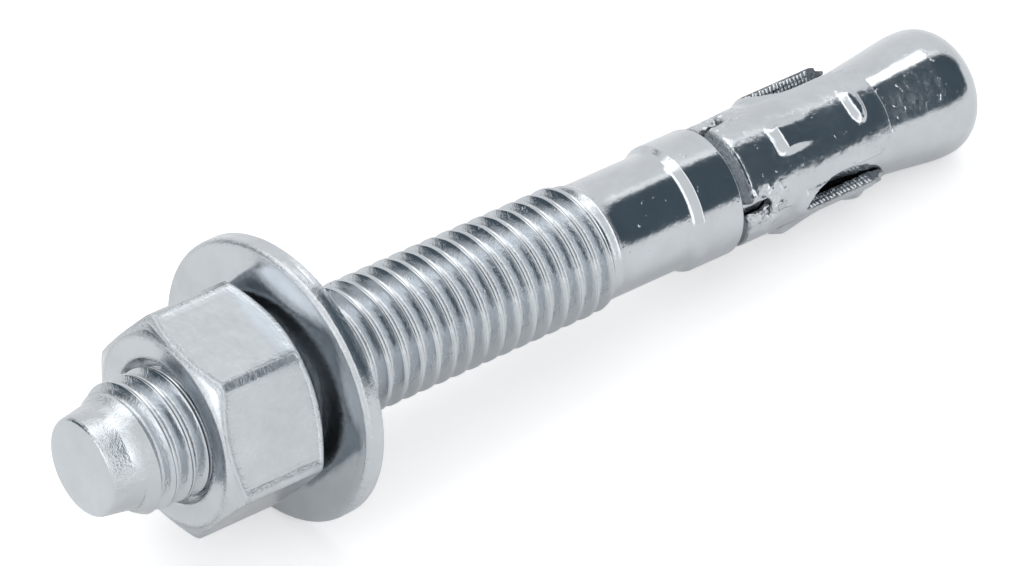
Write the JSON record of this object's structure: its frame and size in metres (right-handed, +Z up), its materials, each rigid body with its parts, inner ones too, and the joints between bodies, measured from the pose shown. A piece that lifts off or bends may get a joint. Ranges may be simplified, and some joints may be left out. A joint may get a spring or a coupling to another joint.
{
  "type": "wedge anchor",
  "caption": "Expansion bolt for concrete: threaded stud with hex nut and flat washer, and a wrapped sheet clip that a tapered cone spreads in a drilled hole.",
  "frame": {"origin": "on the surface that the anchor lies on, below the middle of its bounding box", "axes": "+X along the anchor from the threaded tip to the cone, +Z up, +Y to the left when looking along +X"},
  "size_m": [0.1272, 0.0344, 0.0344],
  "materials": {
    "zinc_bright": "bright zinc plating, glossy",
    "zinc_satin": "zinc plating, satin"
  },
  "bodies": {
    "stud": {"stud": "zinc_bright"},
    "clip": {"expansion_clip": "zinc_bright"},
    "washer": {"flat_washer": "zinc_satin"},
    "nut": {"hex_nut": "zinc_satin"}
  },
  "joints": [
    {"name": "clip_turn", "type": "hinge", "parent": "stud", "child": "clip", "pos_m": [0.02597, 0, 0.01084], "axis": [0.9957, 0, -0.0924], "continuous": true},
    {"name": "washer_travel", "type": "slide", "parent": "stud", "child": "washer", "axis": [0.9957, 0, -0.0924], "range_m": [-0.00559, 0.04136]},
    {"name": "nut_turn", "type": "hinge", "parent": "washer", "child": "nut", "pos_m": [-0.0516, 0, 0.01803], "axis": [0.9957, 0, -0.0924], "range_deg": [-871, 6448]}
  ],
  "couplings": [
    {"joint": "washer_travel", "follows": "nut_turn", "m_per_rad": 0.0003675}
  ]
}
